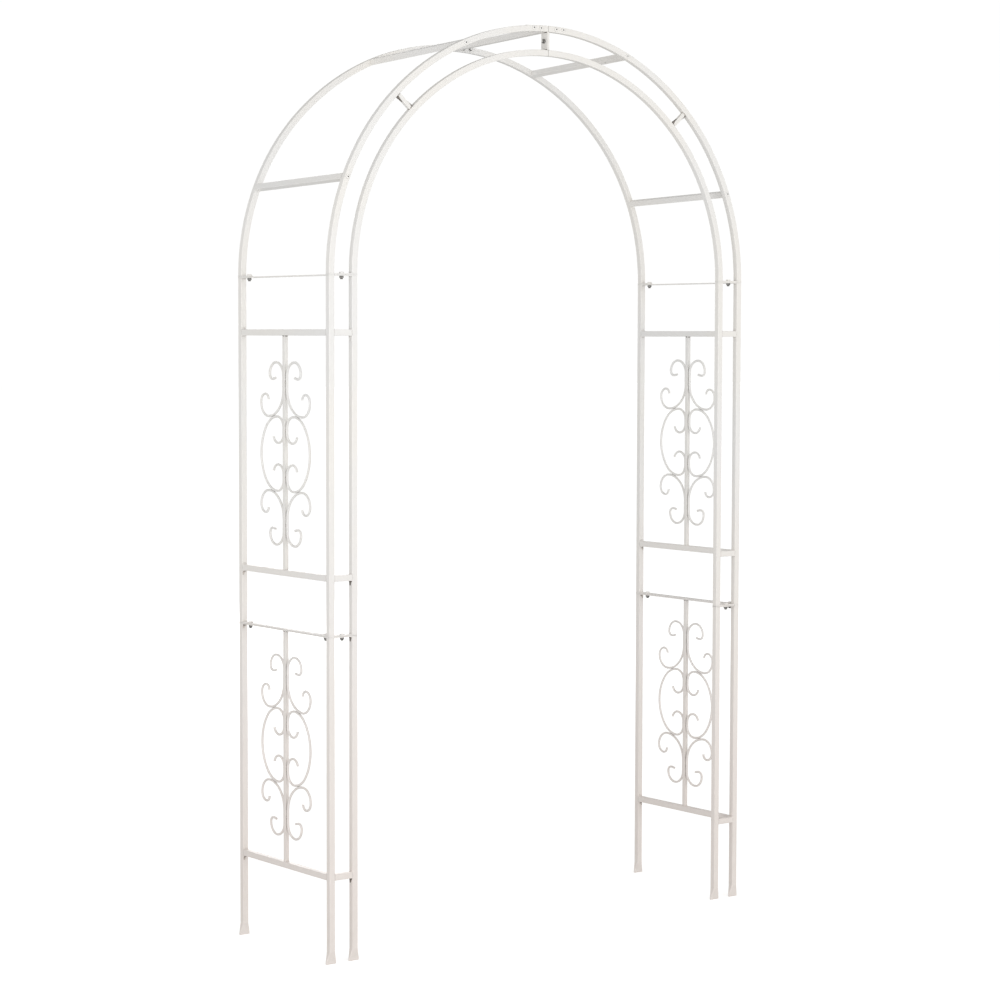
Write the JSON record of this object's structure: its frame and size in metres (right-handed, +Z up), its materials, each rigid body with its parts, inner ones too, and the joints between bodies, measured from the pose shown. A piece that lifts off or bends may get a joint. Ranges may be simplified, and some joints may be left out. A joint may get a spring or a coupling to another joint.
{
  "type": "garden arch",
  "caption": "Free-standing metal garden arch with scrollwork side panels and a double front hoop, for climbing plants over a path.",
  "frame": {"origin": "on the ground, under the middle of the arch in width and depth", "axes": "+X to the right across the opening, seen from the double front; +Y from the double front to the single back; +Z up"},
  "size_m": [1.313, 0.4116, 2.26],
  "materials": {
    "tube_coating": "semi-gloss white powder coat over welded steel tube and flat bar",
    "scroll_coating": "semi-gloss white powder coat over bent round rod",
    "painted_fasteners": "white painted domed heads with a bare socket",
    "nut_steel": "dull zinc-plated steel",
    "plug_steel": "bare steel, hidden inside the crossbars"
  },
  "bodies": {
    "root": {"apex_crossbar": "tube_coating", "apex_plates": "tube_coating", "apex_straps": "tube_coating", "arch_back_tabs": "tube_coating", "arch_back_tube_left": "tube_coating", "arch_back_tube_right": "tube_coating", "arch_front_flange_left": "tube_coating", "arch_front_flange_right": "tube_coating", "arch_inner_tube_left": "tube_coating", "arch_inner_tube_right": "tube_coating", "arch_outer_tube_left": "tube_coating", "arch_outer_tube_right": "tube_coating", "arch_struts": "tube_coating", "crossbar_plugs": "plug_steel", "crossbar_screws": "painted_fasteners", "frame_bolts": "painted_fasteners", "frame_nuts": "nut_steel", "front_short_flats_left": "tube_coating", "front_short_flats_right": "tube_coating", "front_short_rails_left": "tube_coating", "front_short_rails_right": "tube_coating", "high_crossbar_left": "tube_coating", "high_crossbar_right": "tube_coating", "low_crossbar_left": "tube_coating", "low_crossbar_right": "tube_coating", "lower_back_post_left": "tube_coating", "lower_back_post_right": "tube_coating", "lower_bottom_rail_left": "tube_coating", "lower_bottom_rail_right": "tube_coating", "lower_centre_bar_left": "tube_coating", "lower_centre_bar_right": "tube_coating", "lower_inner_post_left": "tube_coating", "lower_inner_post_right": "tube_coating", "lower_outer_post_left": "tube_coating", "lower_outer_post_right": "tube_coating", "lower_scrolls_left": "scroll_coating", "lower_scrolls_right": "scroll_coating", "lower_top_flat_left": "tube_coating", "lower_top_flat_right": "tube_coating", "strap_nuts": "nut_steel", "strap_screws": "painted_fasteners", "upper_back_post_left": "tube_coating", "upper_back_post_right": "tube_coating", "upper_base_flat_left": "tube_coating", "upper_base_flat_right": "tube_coating", "upper_centre_bar_left": "tube_coating", "upper_centre_bar_right": "tube_coating", "upper_high_rail_left": "tube_coating", "upper_high_rail_right": "tube_coating", "upper_inner_post_left": "tube_coating", "upper_inner_post_right": "tube_coating", "upper_low_rail_left": "tube_coating", "upper_low_rail_right": "tube_coating", "upper_outer_post_left": "tube_coating", "upper_outer_post_right": "tube_coating", "upper_scrolls_left": "scroll_coating", "upper_scrolls_right": "scroll_coating", "upper_top_flat_left": "tube_coating", "upper_top_flat_right": "tube_coating"}
  },
  "joints": []
}
